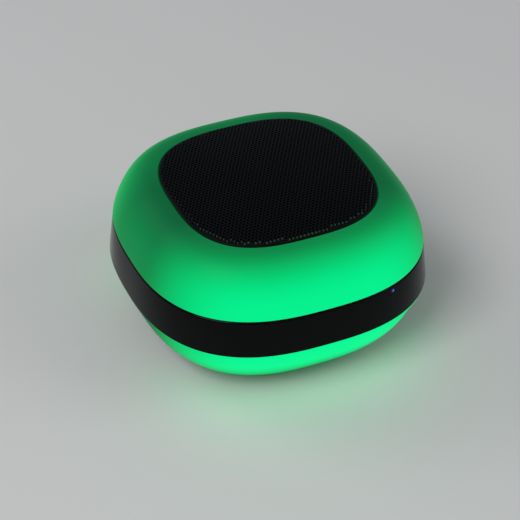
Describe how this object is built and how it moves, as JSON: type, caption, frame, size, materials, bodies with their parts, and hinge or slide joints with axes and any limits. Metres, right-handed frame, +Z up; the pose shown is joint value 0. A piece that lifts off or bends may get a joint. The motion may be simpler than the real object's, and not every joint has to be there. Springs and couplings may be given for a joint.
{
  "type": "bluetooth speaker",
  "caption": "Rounded-square tabletop Bluetooth speaker: domed perforated grille on top, glowing upper and lower shells, gloss belt with buttons, power switch and sockets.",
  "frame": {"origin": "middle of the footprint, on the surface that the speaker stands on", "axes": "+Z up; -Y is the front, with the status light; +X is the side with the press buttons; +Y is the back, with the sockets and the power switch"},
  "size_m": [0.1132, 0.1132, 0.0618],
  "materials": {
    "glow_shell": "satin milky translucent plastic, lit green from inside",
    "gloss_black": "high gloss",
    "matte_black": "fine moulded grain",
    "black_rubber": "matt",
    "grille_black": "satin powder coat, perforated",
    "black_cloth": "fine open weave",
    "white_plastic": "satin",
    "black_steel": "satin",
    "steel": "bright plated",
    "ferrite": "matt sintered",
    "copper": "enamelled winding",
    "damper_cloth": "resin-stiffened weave",
    "cone_paper": "coated paper",
    "foam": "open-cell foam",
    "green_board": "solder mask",
    "white_board": "solder mask",
    "led_white": "clear resin over a white package",
    "cell_foil": "laminated foil pouch",
    "wire_red": "insulation",
    "wire_black": "insulation",
    "blue_light": "polished light pipe"
  },
  "bodies": {
    "housing": {"upper_diffuser": "glow_shell", "lower_lens": "glow_shell", "belt_band": "gloss_black", "base_plate": "matte_black", "foot_ring": "black_rubber", "grille": "grille_black", "grille_cloth": "black_cloth", "baffle_plate": "matte_black", "acoustic_chamber": "white_plastic", "driver_frame": "black_steel", "driver_magnet": "ferrite", "driver_top_plate": "steel", "driver_yoke": "steel", "driver_spider": "damper_cloth", "driver_surround": "black_rubber", "driver_gasket": "foam", "driver_terminal": "green_board", "led_ring_upper": "white_board", "led_ring_lower": "white_board", "main_board": "green_board", "bluetooth_module": "steel", "amplifier_chip": "matte_black", "usb_socket": "steel", "aux_jack": "matte_black", "switch_body": "steel", "button_board": "green_board", "battery_cell": "cell_foil", "battery_pad": "foam", "battery_lead": "wire_red", "speaker_lead_positive": "wire_red", "speaker_lead_negative": "wire_black", "status_light_pipe": "blue_light", "base_screw_1": "steel", "driver_screw_1": "steel", "led_upper_1": "led_white", "led_lower_1": "led_white", "tact_switch_1": "matte_black", "base_screw_2": "steel", "driver_screw_2": "steel", "led_upper_2": "led_white", "led_lower_2": "led_white", "tact_switch_2": "matte_black", "base_screw_3": "steel", "driver_screw_3": "steel", "led_upper_3": "led_white", "led_lower_3": "led_white", "tact_switch_3": "matte_black", "base_screw_4": "steel", "driver_screw_4": "steel", "led_upper_4": "led_white", "led_lower_4": "led_white", "tact_switch_4": "matte_black"},
    "cone": {"driver_cone": "cone_paper", "driver_dust_cap": "cone_paper", "driver_voice_coil": "copper"},
    "power_knob": {"switch_knob": "matte_black"},
    "light_button": {"button_light": "gloss_black"},
    "volume_down_button": {"button_volume_down": "gloss_black"},
    "play_button": {"button_play": "gloss_black"},
    "volume_up_button": {"button_volume_up": "gloss_black"}
  },
  "joints": [
    {"name": "light_press", "type": "slide", "parent": "housing", "child": "light_button", "axis": [-1, 0, 0], "range_m": [0, 0.0005], "stiffness_N_per_m": 3000},
    {"name": "volume_down_press", "type": "slide", "parent": "housing", "child": "volume_down_button", "axis": [-1, 0, 0], "range_m": [0, 0.0005], "stiffness_N_per_m": 3000},
    {"name": "play_press", "type": "slide", "parent": "housing", "child": "play_button", "axis": [-1, 0, 0], "range_m": [0, 0.0005], "stiffness_N_per_m": 3000},
    {"name": "volume_up_press", "type": "slide", "parent": "housing", "child": "volume_up_button", "axis": [-1, 0, 0], "range_m": [0, 0.0005], "stiffness_N_per_m": 3000},
    {"name": "power_slide", "type": "slide", "parent": "housing", "child": "power_knob", "axis": [-1, 0, 0], "range_m": [0, 0.003]},
    {"name": "cone_excursion", "type": "slide", "parent": "housing", "child": "cone", "axis": [0, 0, 1], "range_m": [-0.001, 0.001], "stiffness_N_per_m": 1000, "deforming": ["driver_surround", "driver_spider"]}
  ]
}
